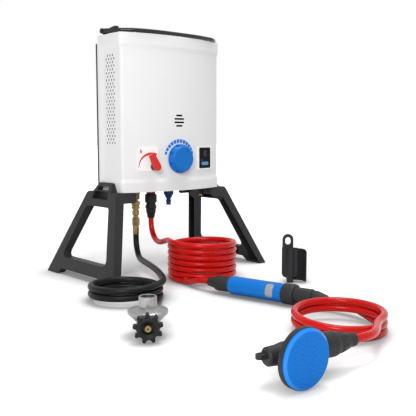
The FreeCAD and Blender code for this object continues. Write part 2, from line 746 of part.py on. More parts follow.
def leg(side):
    plate = box(leg_arm_x, 172.0, -leg_half(leg_top) + 2, leg_half(leg_top) - 2, leg_top - 4.0, leg_top)
    boss = rod(7.5, (screw_x, 0, 186.0), (screw_x, 0, leg_top - 2))
    nest = box(162.5, leg_x(198) + 2, -39, 39, 188.0, leg_top)
    mirror = Vector(1, 0, 0)
    if side < 0:
        plate, boss, nest = [part.mirror(Vector(0, 0, 0), mirror) for part in (plate, boss, nest)]
    beyond = prism([(side * leg_x(z), -60, z) for z in (180.0, 215.0)] + [(side * 240, -60, 215.0),
                   (side * 240, -60, 180.0)], (0, 120, 0))
    frame = leg_frame(side).cut(leg_pockets(side))
    solid = fuse([frame, plate, boss, nest.cut(beyond), leg_lug(side), leg_arm(side, -1), leg_arm(side, 1)])
    recess_box = rounded_prism([(side * 166.5, -35.5, 192.0), (side * 166.5, 35.5, 192.0),
                                (side * 166.5, 30.0, 210.5), (side * 166.5, -30.0, 210.5)],
                               [2, 2, 4, 4], (side * 30, 0, 0))
    window = rounded_prism([(side * 156, -25.0, 212.5), (side * 156, 25.0, 212.5), (side * 156, 22.0, 222.8),
                            (side * 156, -22.0, 222.8)], [1.5] * 4, (side * 30, 0, 0))
    screw_hole = rod(3.1, (side * screw_x, 0, 180), (side * screw_x, 0, 215))
    return solid.cut([recess_box, window, screw_hole])


def leg_screws():
    screws = []
    for side in (-1, 1):
        screws.append(turned_z([(5.6, 181.5), (6.0, 182.3), (6.0, 185.9), (3.0, 185.9), (3.0, 216.0)],
                               side * screw_x, 0.0))
    return Part.makeCompound(screws)


# Carrying handle: a bowed tube between two moulded arms that turn on the top corners
def handle_arm(side):
    pivot_y, pivot_z = handle_pivot
    outline = [(pivot_y + 1, pivot_z + 5.6), (-12, 605.0), (-38, 608.4), (-40.5, 603.4), (-40.5, 593.0),
               (-18, 594.6), (pivot_y - 1, pivot_z - 6.0)]
    slab = rounded_prism([(side * (handle_x - 5), y, z) for y, z in outline],
                         [4, 4, 1.5, 1.2, 2.5, 6, 4], (side * 10, 0, 0))
    eye = rod(6.6, (side * (handle_x - 5), pivot_y, pivot_z), (side * (handle_x + 5), pivot_y, pivot_z))
    bore = rod(3.05, (side * (handle_x - 9), pivot_y, pivot_z), (side * (handle_x + 9), pivot_y, pivot_z))
    return slab.fuse(eye).removeSplitter().cut(bore)


def handle_arms():
    return Part.makeCompound([handle_arm(-1), handle_arm(1)])


def handle_bar():
    right = [Vector(x, y, handle_bar_z) for x, y in handle_corners]
    points = [Vector(-p.x, p.y, p.z) for p in right] + right[::-1]
    radii = list(handle_bends) + list(handle_bends)[::-1]
    edges = []
    here = points[0]
    for i in range(1, len(points) - 1):
        back = (points[i - 1] - points[i]).normalize()
        ahead = (points[i + 1] - points[i]).normalize()
        half = back.getAngle(ahead) / 2
        reach = radii[i] / math.tan(half)
        peak = points[i] + (back + ahead).normalize() * (radii[i] / math.sin(half) - radii[i])
        edges.append(Part.LineSegment(here, points[i] + back * reach).toShape())
        edges.append(Part.Arc(points[i] + back * reach, peak, points[i] + ahead * reach).toShape())
        here = points[i] + ahead * reach
    edges.append(Part.LineSegment(here, points[-1]).toShape())
    return pipe(edges, points[0], points[1] - points[0], handle_tube)


def handle_brackets():
    pivot_y, pivot_z = handle_pivot
    face = handle_x - 5.4
    pieces = []
    for side in (-1, 1):
        ear = rounded_prism([(side * face, 12, case_top - 0.4), (side * face, 32, case_top - 0.4),
                             (side * face, 29, pivot_z + 7), (side * face, 15, pivot_z + 7)],
                            [0.5, 0.5, 6, 6], (-side * 5.5, 0, 0))
        foot = box(face - 11, face, 8, 34, case_top - 0.4, case_top + 2.4)
        if side < 0:
            foot = foot.mirror(Vector(0, 0, 0), Vector(1, 0, 0))
        pin = rod(3.0, (side * (face - 6), pivot_y, pivot_z), (side * (handle_x + 5.4), pivot_y, pivot_z))
        cap = rod(4.8, (side * (handle_x + 5.4), pivot_y, pivot_z), (side * (handle_x + 6.6), pivot_y, pivot_z))
        pieces.append(fuse([ear, foot, pin, cap]))
    return Part.makeCompound(pieces)


# Gas line
def hexagon_nut(radius, z0, z1, x, y):
    corners = [(radius * math.cos(math.radians(60 * i + 12)), radius * math.sin(math.radians(60 * i + 12)), 0)
               for i in range(6)]
    nut = prism(corners, (0, 0, z1 - z0))
    trim = turned_z([(radius * 0.86, 0), (radius * 1.02, (z1 - z0) * 0.12), (radius * 1.02, (z1 - z0) * 0.88),
                     (radius * 0.86, z1 - z0)])
    nut = nut.common(trim)
    nut.translate(Vector(x, y, z0))
    return nut


def gas_coupler_body():
    tube = turned_z([(6.4, 119.6), (6.4, 147.0), (8.8, 148.5), (8.8, 160.0), (7.0, 160.0), (7.0, 188.0)],
                    gas_port_x, port_y)
    return fuse([tube, hexagon_nut(9.9, 121.0, 141.5, gas_port_x, port_y)])


def gas_coupler_sleeve():
    ring = turned_z([(9.6, 163.6), (10.4, 164.4), (10.4, 168.6), (9.4, 169.6), (9.4, 173.0), (11.2, 174.4),
                     (11.2, 181.4), (10.4, 182.4)], gas_port_x, port_y)
    bore = rod(7.06, (gas_port_x, port_y, 150), (gas_port_x, port_y, 190))
    return ring.cut(bore)


def gas_hose_ferrule():
    return turned_z([(7.4, gas_hose_end[2]), (7.9, gas_hose_end[2] + 0.8), (7.9, 103.5), (7.5, 104.2), (7.9, 105.0),
                     (7.9, 117.6), (7.2, 119.6)], gas_port_x, port_y)


gas_coil_shape = (gas_coil_centre, gas_coil_radius, gas_coil_pitch, gas_coil_angles, gas_coil_lift, gas_hose)
water_coil_shape = (water_coil_centre, water_coil_radius, water_coil_pitch, water_coil_angles, water_coil_lift,
                    water_hose)
loop_shape = (loop_centre, loop_radius, loop_pitch, loop_angles, loop_lift, water_hose)


def gas_hose_drop():
    return hose_run("gas_hose_drop", gas_hose_end, gas_drop_corners, coil_ends(*gas_coil_shape)[1], gas_hose)


def gas_hose_coil():
    return coil("gas_hose_coil", *gas_coil_shape)


def gas_hose_tail():
    port = regulator_point(regulator_inlet, wheel_height)
    return hose_run("gas_hose_tail", coil_ends(*gas_coil_shape)[0], gas_tail_corners, port, gas_hose)


def regulator_point(distance, height):
    return along(regulator_origin, regulator_angle, distance) + Vector(0, 0, height)


# Local X of the regulator points out of its hand wheel
def regulator_body():
    bowl = turned_z([(11, 12.0), (17, 14.0), (20, 24.0), (33, 38.0), (35.5, 40.0), (35.5, 45.0), (33, 46.6),
                     (17, 52.0), (16.2, 52.0)])
    neck = rod(11.5, (0, 0, wheel_height), (36.0, 0, wheel_height))
    outlet = turned_x([(regulator_inlet, 7.0), (regulator_inlet + 1.0, 9.0), (-22.0, 9.0), (-20.0, 10.5), (0.0, 10.5)])
    outlet.translate(Vector(0, 0, wheel_height))
    foot = rod(9.0, (-6, 0, 0.2), (-6, 0, 14.0))
    stem = rod(6.0, (30.0, 0, wheel_height), (38.0, 0, wheel_height))
    bore = rod(5.0, (28.0, 0, wheel_height), (40.0, 0, wheel_height))
    return placed(fuse([bowl, neck, outlet, foot, stem]).cut(bore), regulator_origin, regulator_angle)


def regulator_cap():
    cap = turned_z([(15.9, 52.0), (15.9, 69.0), (15.0, 70.2), (13.4, 70.2), (12.8, 69.4), (12.8, 58.0)])
    return placed(cap, regulator_origin, regulator_angle)


def regulator_nipple():
    nipple = turned_x([(28.0, 5.0), (49.0, 5.0), (50.0, 6.3), (53.4, 6.3), (54.6, 5.2)])
    bore = rod(1.6, (44.0, 0, 0), (60.0, 0, 0))
    solid = nipple.cut(bore)
    solid.translate(Vector(0, 0, wheel_height))
    return placed(solid, regulator_origin, regulator_angle)


def regulator_handwheel():
    disc = turned_x([(38.4, 17.5), (39.2, 20.0), (50.0, 20.0), (53.0, 18.5), (55.6, 18.5), (56.4, 17.6)])
    lobes = []
    for i in range(wheel_lobes):
        turn = math.radians(93 + 360 * i / wheel_lobes)
        across = (math.cos(turn), math.sin(turn))
        tip = wheel_radius - 3.4
        lobe = rod(3.4, (40.0, across[0] * tip, across[1] * tip), (52.0, across[0] * tip, across[1] * tip))
        root = rod(5.4, (40.0, across[0] * 17, across[1] * 17), (52.0, across[0] * 17, across[1] * 17))
        lobes += [lobe, root]
    throat = turned_x([(52.4, 10.2), (57.0, 16.0)])
    pocket = rod(10.2, (46.0, 0, 0), (60.0, 0, 0))
    bore = rod(6.06, (30.0, 0, 0), (60.0, 0, 0))
    wheel = fuse([disc] + lobes).cut([throat, pocket, bore])
    wheel.translate(Vector(0, 0, wheel_height))
    return placed(wheel, regulator_origin, regulator_angle)


# Shower line
def outlet_coupler_core():
    core = turned_z([(7.6, 136.5), (9.2, 137.5), (11.0, 148.0), (12.6, 152.0), (13.0, 160.0), (14.6, 163.0),
                     (14.8, 168.6), (13.2, 169.2), (13.2, 172.0), (11.9, 172.0), (11.9, 199.0)],
                    hot_port_x, port_y)
    ribs = []
    for i in range(8):
        turn = math.radians(45 * i)
        x = hot_port_x + 13.6 * math.cos(turn)
        y = port_y + 13.6 * math.sin(turn)
        ribs.append(rod(1.6, (x, y, 153.5), (x, y, 162.0)))
    return core.cut(ribs)


def outlet_coupler_collar():
    collar = turned_z([(13.8, 176.4), (15.4, 177.4), (15.6, 181.0), (15.4, 196.0), (14.4, 198.0)],
                      hot_port_x, port_y)
    bore = rod(11.96, (hot_port_x, port_y, 170), (hot_port_x, port_y, 200))
    flutes = []
    for i in range(12):
        turn = math.radians(30 * i)
        x = hot_port_x + 16.6 * math.cos(turn)
        y = port_y + 16.6 * math.sin(turn)
        flutes.append(rod(1.7, (x, y, 180.0), (x, y, 193.0)))
    return collar.cut([bore] + flutes)


def shower_hose_drop():
    return hose_run("shower_hose_drop", outlet_hose_end, shower_drop_corners, coil_ends(*water_coil_shape)[1],
                    water_hose)


def shower_hose_coil():
    return coil("shower_hose_coil", *water_coil_shape)


def along(origin, angle, distance):
    turn = math.radians(angle)
    return origin + Vector(distance * math.cos(turn), distance * math.sin(turn), 0)


def shower_hose_lead():
    tip = along(grip_origin, grip_angle, grip_ends[0])
    return hose_run("shower_hose_lead", coil_ends(*water_coil_shape)[0], shower_lead_corners, tip, water_hose)


def shower_hose_feed():
    tip = along(grip_origin, grip_angle, grip_ends[1])
    return hose_run("shower_hose_feed", tip, shower_feed_corners, coil_ends(*loop_shape)[0], water_hose)


def shower_hose_loop():
    return coil("shower_hose_loop", *loop_shape)


def shower_hose_tail():
    tip = along(head_origin, head_angle, head_end)
    return hose_run("shower_hose_tail", coil_ends(*loop_shape)[1], shower_tail_corners, tip, water_hose)


def grooved(profile, count, radius, size, x0, x1, offset=0.0):
    body = turned_x(profile)
    cuts = []
    for i in range(count):
        turn = math.radians(360 * i / count + offset)
        y = radius * math.cos(turn)
        z = radius * math.sin(turn)
        cuts.append(rod(size, (x0, y, z), (x1, y, z)))
    return body.cut(cuts)


def grip_inlet_coupler():
    body = grooved([(-60.5, 7.8), (-59.0, 9.6), (-40.0, 13.4), (-37.5, 13.8), (-36.0, 16.4), (-30.0, 17.2),
                    (-4.0, 16.8), (-2.0, 16.0), (-0.1, 16.0)], 10, 15.0, 2.0, -56.0, -42.0)
    return placed(body, grip_origin, grip_angle)


def grip_window(x0, x1, half, low, high):
    block = rounded_prism([(x0, -half, low), (x1, -half, low), (x1, half, low), (x0, half, low)],
                          [6.0] * 4, (0, 0, high - low))
    block.rotate(Vector(0, 0, 0), Vector(1, 0, 0), grip_window_turn)
    return block


def grip_sleeve():
    radius = sleeve_radius
    body = turned_x([(0, 17.6), (3.5, 19.4), (8, radius), (117.2, radius), (117.2, 19.5), (119.2, 19.5),
                     (119.2, radius), (122.4, radius), (122.4, 19.5), (124.0, 19.5), (sleeve_length, 19.7)])
    cavity = turned_x([(88.0, 15.2), (116.0, 15.2)])
    return placed(body.cut([cavity, grip_window(95.6, 114.4, 15.0, 0, 30)]), grip_origin, grip_angle)


def grip_trigger():
    shell = turned_x([(90.0, 19.2), (116.0, 19.2)]).cut(turned_x([(89.0, 10.6), (117.0, 10.6)]))
    return placed(grip_window(96.0, 114.0, 14.6, 0, 30).common(shell), grip_origin, grip_angle)


def grip_outlet_coupler():
    body = grooved([(132.1, 19.6), (134.0, 21.7), (155.0, 22.0), (160.0, 21.0), (162.0, 16.4), (164.0, 15.8),
                    (166.0, 16.4), (196.0, 16.8), (198.0, 16.2), (199.0, 13.8), (203.0, 13.8), (204.0, 15.0),
                    (209.0, 14.6), (228.0, 9.4), (231.0, 7.8)], 8, 16.6, 3.0, 209.5, 232.0, 22.5)
    return placed(body, grip_origin, grip_angle)


def head_coupler():
    body = grooved([(52.0, 14.0), (57.0, 18.4), (62.0, 19.5), (84.0, 19.3), (91.0, 17.4), (92.5, 15.6),
                    (95.5, 15.6), (97.5, 16.4), (114.0, 12.2), (116.0, 10.2), (121.0, 10.2), (122.0, 10.8),
                    (127.0, 10.4), (head_end, 8.8)], 8, 16.2, 2.8, 98.5, 113.0)
    return placed(body, head_origin, head_angle)


# Local -Y of the shower face is the way it looks; the tube behind it has its own direction
def shower_head_body():
    tube = turned_x([(-36.0, 11.0), (-33.0, 13.8), (-16.0, 14.8), (-4.0, 17.0), (28.0, 18.0), (40.0, 15.6),
                     (52.0, 14.0)])
    loop = rounded_prism([(-50, -5, -1.5), (-30, -5, -1.5), (-30, 8, -1.5), (-50, 8, -1.5)], [6, 1, 1, 6],
                         (0, 0, 7))
    eye = rod(3.2, (-43.5, 1.5, -5), (-43.5, 1.5, 9))
    tube = placed(tube.fuse(loop).cut(eye), head_origin, head_angle)
    small = Part.Wire(Part.makeCircle(17.0, Vector(0, -4, -3.3), Vector(0, -1, 0)))
    large = Part.Wire(Part.makeCircle(face_radius - 1.0, Vector(0, -33, 0), Vector(0, -1, 0)))
    cone = Part.makeLoft([small, large], True, True)
    rim_ring = rod(face_radius + 0.8, (0, -33, 0), (0, -41, 0))
    seat = rod(face_radius - 2.5, (0, -38.5, 0), (0, -44, 0))
    front = placed(cone.fuse(rim_ring).cut(seat), face_origin, face_angle)
    return tube.fuse(front).removeSplitter()


def shower_face():
    disc = turned_x([(0, face_radius - 2.7), (2.6, face_radius - 2.7), (2.6, face_radius), (5.0, face_radius),
                     (8.0, face_radius - 3.6)])
    disc.rotate(Vector(0, 0, 0), UP, -90)
    disc.translate(Vector(0, -38.6, 0))
    return placed(disc, face_origin, face_angle)


# Stand-alone holder: a flat hanging plate behind a round post, with a curved blade beyond it
def shower_holder():
    post = rod(7.8, (0, 0, 0), (0, 0, 79.0))
    post = post.fuse(rod(6.4, (0, 0, 79.0), (0, 0, 80.6)))
    plate = rounded_prism([(-20, 5.5, 9.5), (17.5, 5.5, 9.5), (17.5, 5.5, 82), (-20, 5.5, 82)],
                          [11, 11, 1.0, 1.0], (0, 4.0, 0))
    tab = rounded_prism([(-19, 5.5, 70), (7, 5.5, 70), (7, 5.5, 114.5), (-19, 5.5, 114.5)],
                        [0.5, 0.5, 12.8, 12.8], (0, 4.0, 0))
    eye = rounded_prism([(-12.2, 3, 89.4), (0.2, 3, 89.4), (0.2, 3, 107), (-12.2, 3, 107)], [6.1] * 4, (0, 10, 0))
    outer = rod(27.0, (12, -6, 1.5), (12, -6, 79))
    inner = rod(24.0, (12, -6, 0), (12, -6, 85))
    sector = prism([(12, -6, 0), (60, -2, 0), (60, 60, 0), (-30, 60, 0), (-30, 29.2, 0)], (0, 0, 90))
    trim = rounded_prism([(-60, 40, 1.5), (39.2, 40, 1.5), (39.2, 40, 79), (-60, 40, 79)], [0.5, 6, 8, 0.5],
                         (0, -80, 0))
    blade = outer.cut(inner).common(sector).common(trim)
    holder = fuse([post, plate, tab.fuse(plate), blade]).cut(eye)
    return placed(holder, holder_origin, holder_angle)


def flame_window():
    depth = front_depth(controls_x)[0]
    screen = rounded_block(controls_x - 22, controls_x + 22, depth + case_wall + 0.6, depth + case_wall + 1.6,
                           vent_z - 20, vent_z + 20, 0.3)
    return screen


os.makedirs(OUT, exist_ok=True)
builders = [front_cover, back_cover, top_plate, base_plate, case_screws, flue_hood, heat_exchanger,
            combustion_chamber, burner, gas_valve, water_valve, water_pipes, battery_box, battery_cells,
            battery_door, ignition_module, display_bezel, display_window, mode_button, lever_plate,
            lever_spindle, gas_lever, flow_knob, knob_spindle, flame_window, gas_inlet, hot_outlet, cold_inlet,
            leg_screws, handle_bar, handle_arms, handle_brackets, gas_coupler_body,
            gas_coupler_sleeve, gas_hose_ferrule, gas_hose_drop, gas_hose_coil, gas_hose_tail, regulator_body,
            regulator_cap, regulator_nipple, regulator_handwheel, outlet_coupler_core, outlet_coupler_collar,
            shower_hose_drop, shower_hose_coil, shower_hose_lead, grip_inlet_coupler, grip_sleeve, grip_trigger,
            grip_outlet_coupler, shower_hose_feed, shower_hose_loop, shower_hose_tail, head_coupler,
            shower_head_body, shower_face, shower_holder]
for builder in builders:
    export(builder.__name__, builder())
for leg_name, leg_side in (("leg_left", -1), ("leg_right", 1)):
    export(leg_name, leg(leg_side))
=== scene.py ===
"""Looks of a portable propane water heater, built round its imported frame.

Lengths are written in millimetres and turned to metres where a mesh is made.
"""

from __future__ import annotations

import logging
import math
from dataclasses import dataclass, field
from enum import Enum

import bmesh
import bpy
from mathutils import Matrix, Vector

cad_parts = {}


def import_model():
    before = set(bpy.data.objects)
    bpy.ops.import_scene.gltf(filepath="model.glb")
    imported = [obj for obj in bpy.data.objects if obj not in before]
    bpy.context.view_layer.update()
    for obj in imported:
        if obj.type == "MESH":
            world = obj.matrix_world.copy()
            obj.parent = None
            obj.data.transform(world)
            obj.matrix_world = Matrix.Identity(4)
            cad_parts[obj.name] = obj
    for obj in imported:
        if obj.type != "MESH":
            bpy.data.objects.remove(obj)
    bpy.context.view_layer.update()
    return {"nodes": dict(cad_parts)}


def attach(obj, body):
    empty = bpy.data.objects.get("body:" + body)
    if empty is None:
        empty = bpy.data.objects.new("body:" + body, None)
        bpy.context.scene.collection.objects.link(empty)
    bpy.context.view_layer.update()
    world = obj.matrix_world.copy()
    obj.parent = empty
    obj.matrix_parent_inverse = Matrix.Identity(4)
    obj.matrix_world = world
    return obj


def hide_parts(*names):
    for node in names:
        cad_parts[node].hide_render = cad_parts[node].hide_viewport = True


MM = 0.001
# Added to a hose's drawn radius in mm, so that neighbouring turns touch
TOUCH = 0.28
Point = tuple[float, float, float]
log = logging.getLogger("heater")


class Grain(Enum):
    """How a surface was made, which sets the shape of its fine relief."""

    POWDERED = (1.0, 1.0, 1.0)
    MOULDED = (1.0, 1.0, 1.0)
    CAST = (1.0, 1.0, 1.0)
    BRUSHED = (0.03, 1.0, 1.0)
    TURNED = (0.04, 0.04, 1.0)
    EXTRUDED = (0.6, 0.6, 1.0)


def linear(code: str) -> tuple[float, float, float, float]:
    """Turns an sRGB hex colour to linear light.

    Args:
        code: Six hex digits.

    Returns:
        Red, green, blue and alpha in linear light.
    """
    parts = [int(code[i:i + 2], 16) / 255 for i in (0, 2, 4)]
    bent = [c / 12.92 if c <= 0.04045 else ((c + 0.055) / 1.055) ** 2.4 for c in parts]
    return (bent[0], bent[1], bent[2], 1.0)


def add(tree: bpy.types.NodeTree, kind: str, values: dict | None = None, links: dict | None = None,
        **settings: object) -> bpy.types.Node:
    """Adds one shader node with its settings, socket values and incoming links.

    Args:
        tree: The node tree that gets it.
        kind: Blender's name of the node type.
        values: Values by socket name or number.
        links: Output sockets by the name or number of the socket that they feed.
        **settings: Properties of the node itself.

    Returns:
        The new node.
    """
    node = tree.nodes.new(kind)
    for key, value in settings.items():
        setattr(node, key, value)
    for key, value in (values or {}).items():
        node.inputs[key].default_value = value
    for key, socket in (links or {}).items():
        tree.links.new(socket, node.inputs[key])
    return node


@dataclass(frozen=True)
class Finish:
    """A real surface: its colour, gloss and the grain that its making left."""

    name: str
    colour: str
    tint: str
    roughness: float
    grain: Grain = Grain.MOULDED
    grain_mm: float = 1.2
    relief_mm: float = 0.03
    mottle_mm: float = 60.0
    metallic: float = 0.0
    coat: float = 0.0
    specular: float = 0.22
    gloss_swing: float = 0.06

    def material(self) -> bpy.types.Material:
        """Builds the node material.

        Returns:
            The material, made once and then shared.
        """
        made = bpy.data.materials.get(self.name)
        if made:
            return made
        made = bpy.data.materials.new(self.name)
        made.use_nodes = True
        tree = made.node_tree
        tree.nodes.clear()
        place = add(tree, "ShaderNodeTexCoord")
        spread = add(tree, "ShaderNodeMapping", {"Scale": self.grain.value},
                     {"Vector": place.outputs["Object"]})
        fine = add(tree, "ShaderNodeTexNoise", {"Scale": 1 / (self.grain_mm * MM), "Detail": 2.0,
                                                "Roughness": 0.5},
                   {"Vector": spread.outputs[0]})
        broad = add(tree, "ShaderNodeTexNoise", {"Scale": 1 / (self.mottle_mm * MM), "Detail": 3.0},
                    {"Vector": place.outputs["Object"]})
        colour = add(tree, "ShaderNodeMix", {6: linear(self.colour), 7: linear(self.tint)},
                     {0: broad.outputs["Fac"]}, data_type="RGBA")
        gloss = add(tree, "ShaderNodeMapRange",
                    {"From Min": 0.3, "From Max": 0.7, "To Min": self.roughness - self.gloss_swing,
                     "To Max": self.roughness + self.gloss_swing},
                    {"Value": fine.outputs["Fac"]})
        relief = add(tree, "ShaderNodeBump", {"Strength": 1.0, "Distance": self.relief_mm * MM},
                     {"Height": fine.outputs["Fac"]})
        shader = add(tree, "ShaderNodeBsdfPrincipled",
                     {"Metallic": self.metallic, "Coat Weight": self.coat, "Coat Roughness": 0.12,
                      "Specular IOR Level": self.specular},
                     {"Base Color": colour.outputs[2], "Roughness": gloss.outputs[0],
                      "Normal": relief.outputs[0]})
        add(tree, "ShaderNodeOutputMaterial", None, {"Surface": shader.outputs[0]})
        return made


# Powder-coated sheet: satin white with a faint orange peel
POWDER_WHITE = Finish("powder_coated_white_steel", "EAEAEA", "E4E4E4", 0.38, Grain.POWDERED, 2.2, 0.012,
                      coat=0.05)
POWDER_GREY = Finish("powder_coated_grey_steel", "3B3C40", "333438", 0.5, Grain.POWDERED, 1.8, 0.04)
# Zinc-plated sheet: pale metal with slow cloudy patches
ZINC_SHEET = Finish("zinc_plated_steel", "A9ABAE", "8F9194", 0.36, Grain.BRUSHED, 0.6, 0.01, 30.0, 1.0)
STAINLESS = Finish("brushed_stainless_steel", "B9B8B6", "A6A5A3", 0.3, Grain.BRUSHED, 0.4, 0.015, 40.0, 1.0)
# Polished bell of the adjuster: bright with very fine turning lines
CHROME = Finish("polished_chromed_steel", "A5A4A3", "969594", 0.32, Grain.TURNED, 0.5, 0.006, 40.0, 1.0)
# Cast zinc bowl: satin and slightly pebbled
CAST_ZINC = Finish("cast_zinc_alloy", "9C9C9E", "8A8A8D", 0.36, Grain.CAST, 1.4, 0.05, 25.0, 0.85)
# Machined brass: warm, with turning rings along its axis
BRASS = Finish("machined_brass", "9A8356", "745E40", 0.34, Grain.TURNED, 0.5, 0.02, 12.0, 1.0)
# Nut at the case, in a darker brass than the other fittings
DULL_BRASS = Finish("darker_brass", "6F5C49", "574636", 0.42, Grain.TURNED, 0.5, 0.02, 10.0, 1.0)
COPPER = Finish("drawn_copper", "B5714A", "A0603C", 0.34, Grain.EXTRUDED, 0.8, 0.01, 30.0, 1.0)
# Glass-filled nylon: dark, finely textured, soft sheen
NYLON_DARK = Finish("glass_filled_nylon", "2B2B2D", "252527", 0.5, Grain.MOULDED, 1.1, 0.06, 35.0)
ABS_BLACK = Finish("moulded_black_abs", "1C1C1E", "161618", 0.4, Grain.MOULDED, 1.0, 0.03, 30.0)
PAINT_BLACK = Finish("gloss_black_paint", "19191B", "141416", 0.28, Grain.POWDERED, 1.6, 0.02, coat=0.2)
ABS_WHITE = Finish("moulded_white_abs", "F8F8F8", "F3F3F3", 0.3, Grain.MOULDED, 1.5, 0.01)
ABS_RED = Finish("moulded_red_abs", "D8302A", "CC2824", 0.34, Grain.MOULDED, 1.4, 0.01)
ABS_DARK_RED = Finish("moulded_dark_red_abs", "6B211E", "571A18", 0.38, Grain.MOULDED, 1.4, 0.02)
ABS_BLUE = Finish("moulded_blue_abs", "0270C6", "0068BA", 0.38, Grain.MOULDED, 1.2, 0.03)
FACE_BLUE = Finish("spray_face_blue_abs", "0074CE", "006CC2", 0.45, Grain.MOULDED, 1.2, 0.02, specular=0.12)
RUBBER_BLUE = Finish("soft_touch_blue_rubber", "0374CC", "0068BC", 0.46, Grain.MOULDED, 1.0, 0.05)
ABS_NAVY = Finish("moulded_navy_abs", "0C437E", "09366A", 0.34, Grain.MOULDED, 1.2, 0.03)
ABS_SILVER = Finish("silver_abs", "A3A4A8", "94959A", 0.28, Grain.MOULDED, 1.2, 0.01, metallic=0.35)
PILL_BLUE = Finish("pale_blue_button_abs", "5C96D2", "5289C6", 0.34, Grain.MOULDED, 1.2, 0.01)
# Smoked acrylic over the display: near black and glossy
GLASS_BLACK = Finish("smoked_acrylic", "08080B", "060608", 0.25, Grain.MOULDED, 3.0, 0.004, specular=0.05,
                     gloss_swing=0.02)
# Soft PVC shower hose: deep red, glossy, with slight drawing lines
HOSE_RED = Finish("glossy_red_pvc_hose", "C80D07", "BC0A05", 0.26, Grain.EXTRUDED, 6.0, 0.0, 22.0,
                  specular=0.2, gloss_swing=0.02)
HOSE_BLACK = Finish("black_rubber_gas_hose", "161617", "111112", 0.42, Grain.EXTRUDED, 4.0, 0.004, 22.0,
                    specular=0.16, gloss_swing=0.02)
INK_RED = Finish("red_screen_ink", "D9403A", "D23933", 0.45, Grain.MOULDED, 1.5, 0.005)
INK_BLUE = Finish("blue_screen_ink", "2E78CC", "2A72C6", 0.45, Grain.MOULDED, 1.5, 0.005)
INK_STEEL_BLUE = Finish("pale_display_ink", "3D5A7C", "375274", 0.4, Grain.MOULDED, 1.5, 0.005)
POINTER_BLUE = Finish("deep_blue_pointer", "0B3E80", "093874", 0.5, Grain.MOULDED, 1.5, 0.01)
# The face's turned-down edge is polished; its lighter blue is painted highlight
PAINTED_HIGHLIGHT_BLUE = Finish("painted_highlight_blue_abs", "2A86E2", "2280DC", 0.25, Grain.MOULDED, 2.0, 0.0)
NOZZLE_BLUE = Finish("silicone_nozzle_blue", "075CAE", "0652A0", 0.55, Grain.MOULDED, 0.8, 0.02)
# Near-black painted shade for the dark insides of the vent and flame slots: dull sheet and fillings
SLOT_SHADE_BLACK = Finish("painted_slot_shade_black", "060606", "040404", 0.8, Grain.MOULDED, 0.9, 0.1, specular=0.1)
WRAP_GREY = Finish("battery_wrap", "4B4C50", "414246", 0.4, Grain.MOULDED, 1.5, 0.01)

NODE_FINISHES: dict[str, Finish] = {
    "front_cover": POWDER_WHITE, "back_cover": POWDER_GREY, "top_plate": POWDER_GREY,
    "base_plate": ZINC_SHEET,
    "case_screws": ZINC_SHEET, "flue_hood": STAINLESS, "heat_exchanger": COPPER,
    "combustion_chamber": STAINLESS,
    "burner": STAINLESS, "gas_valve": CAST_ZINC, "water_valve": BRASS, "water_pipes": COPPER,
    "battery_box": ABS_BLACK, "battery_cells": WRAP_GREY, "battery_door": ABS_BLACK,
    "ignition_module": ABS_BLACK,
    "display_bezel": ABS_WHITE, "display_window": GLASS_BLACK, "mode_button": PILL_BLUE,
    "lever_plate": ABS_WHITE,
    "lever_spindle": ABS_BLACK, "gas_lever": ABS_RED, "flow_knob": ABS_BLUE, "knob_spindle": BRASS,
    # flame_window gets the near-black painted slot shade
    "flame_window": SLOT_SHADE_BLACK, "gas_inlet": DULL_BRASS, "hot_outlet": ABS_DARK_RED, "cold_inlet": ABS_NAVY,
    "leg_left": NYLON_DARK, "leg_right": NYLON_DARK, "leg_screws": BRASS, "handle_bar": PAINT_BLACK,
    "handle_arms": ABS_BLACK, "handle_brackets": ABS_BLACK, "gas_coupler_body": BRASS,
    "gas_coupler_sleeve": BRASS,
    "gas_hose_ferrule": BRASS, "regulator_body": CAST_ZINC, "regulator_cap": CHROME,
    "regulator_nipple": BRASS,
    "regulator_handwheel": ABS_BLACK, "outlet_coupler_core": ABS_BLACK, "outlet_coupler_collar": ABS_BLACK,
    "grip_inlet_coupler": NYLON_DARK, "grip_sleeve": RUBBER_BLUE, "grip_trigger": ABS_SILVER,
    "grip_outlet_coupler": NYLON_DARK, "head_coupler": NYLON_DARK, "shower_head_body": NYLON_DARK,
    "shower_face": FACE_BLUE, "shower_holder": NYLON_DARK,
}


def finished(name: str, mesh: bmesh.types.BMesh, finish: Finish, body: str,
             bevel_mm: float = 0.0) -> bpy.types.Object:
    """Turns a bmesh in millimetres into a dressed piece that rides on a body.

    Args:
        name: The piece's name.
        mesh: Its mesh, in millimetres, in the shared frame.
        finish: What it is made of.
        body: The CAD body it moves with.
        bevel_mm: Width of a live bevel on its edges, or 0.

    Returns:
        The new object.
    """
    bmesh.ops.remove_doubles(mesh, verts=mesh.verts, dist=0.001)
    bmesh.ops.recalc_face_normals(mesh, faces=mesh.faces)
    bmesh.ops.scale(mesh, vec=(MM, MM, MM), verts=mesh.verts)
    data = bpy.data.meshes.new(name)
    mesh.to_mesh(data)
    mesh.free()
    piece = bpy.data.objects.new(name, data)
    bpy.context.scene.collection.objects.link(piece)
    data.materials.append(finish.material())
    if bevel_mm:
        edge = piece.modifiers.new("edge", "BEVEL")
        edge.width = bevel_mm * MM
        edge.segments = 2
    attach(piece, body)
    log.info("%s on %s in %s", name, body, finish.name)
    return piece


def swept_band(mesh: bmesh.types.BMesh, inner: float, outer: float, start: float, end: float,
               steps: int) -> None:
    """Spins a radial line about the Y axis into a flat band in the XZ plane.

    Args:
        mesh: The mesh that gets it.
        inner: Inner radius in mm.
        outer: Outer radius in mm.
        start: First angle in degrees, from +X towards +Z.
        end: Last angle in degrees.
        steps: Number of segments.
    """
    turn = math.radians(start)
    spots = [mesh.verts.new((r * math.cos(turn), 0.0, r * math.sin(turn))) for r in (inner, outer)]
    line = mesh.edges.new(spots)
    bmesh.ops.spin(mesh, geom=spots + [line], cent=(0, 0, 0), axis=(0, -1, 0),
                   angle=math.radians(end - start),
                   steps=steps)


